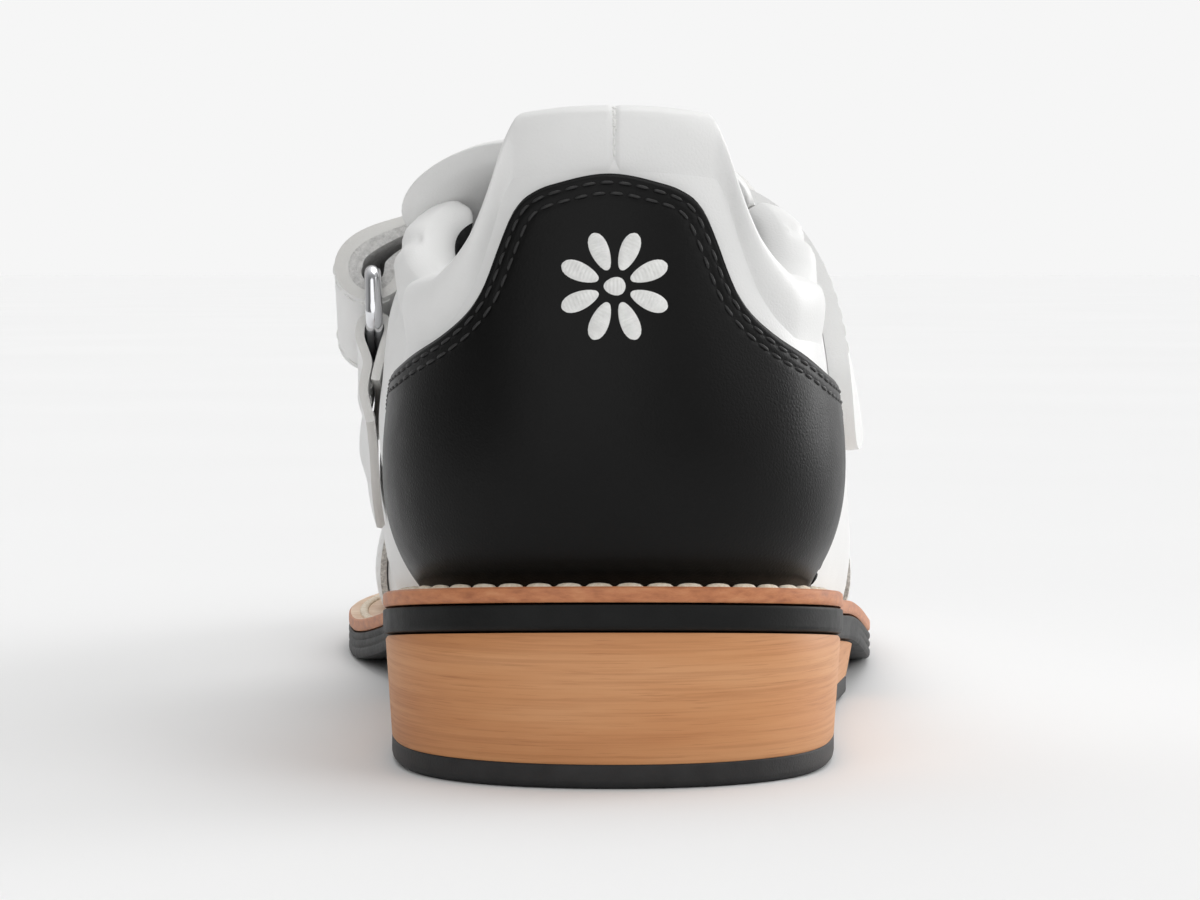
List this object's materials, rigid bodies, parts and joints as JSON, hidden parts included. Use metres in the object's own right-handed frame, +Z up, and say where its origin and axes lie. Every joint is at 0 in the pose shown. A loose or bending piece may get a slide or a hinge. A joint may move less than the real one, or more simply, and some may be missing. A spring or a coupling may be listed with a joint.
{
  "type": "weightlifting shoe",
  "caption": "Right weightlifting shoe with raised wooden heel, rubber sole, welted leather upper, padded collar and an instep strap doubled back through a wire ring.",
  "frame": {"origin": "on the floor below the middle of the shoe's bounding box", "axes": "+Y points to the toe, +X to the outer side of the right foot, +Z up"},
  "size_m": [0.1064, 0.3004, 0.1046],
  "materials": {
    "black_rubber": "satin black rubber",
    "wood": "sanded and oiled, fine horizontal grain",
    "welt_leather": "burnished vegetable-tanned edge",
    "board_leather": "dark lining leather",
    "white_leather": "smooth white leather, soft sheen",
    "black_leather": "smooth black leather, soft sheen",
    "ring_chrome": "polished"
  },
  "bodies": {
    "root": {"heel_lift": "black_rubber", "wood_heel": "wood", "outsole": "black_rubber", "welt": "welt_leather", "insole": "board_leather", "upper": "white_leather", "vamp": "white_leather", "heel_counter": "black_leather", "collar": "white_leather", "tongue": "white_leather", "strap": "white_leather", "strap_ring": "ring_chrome", "ring_tab": "white_leather"}
  },
  "joints": []
}
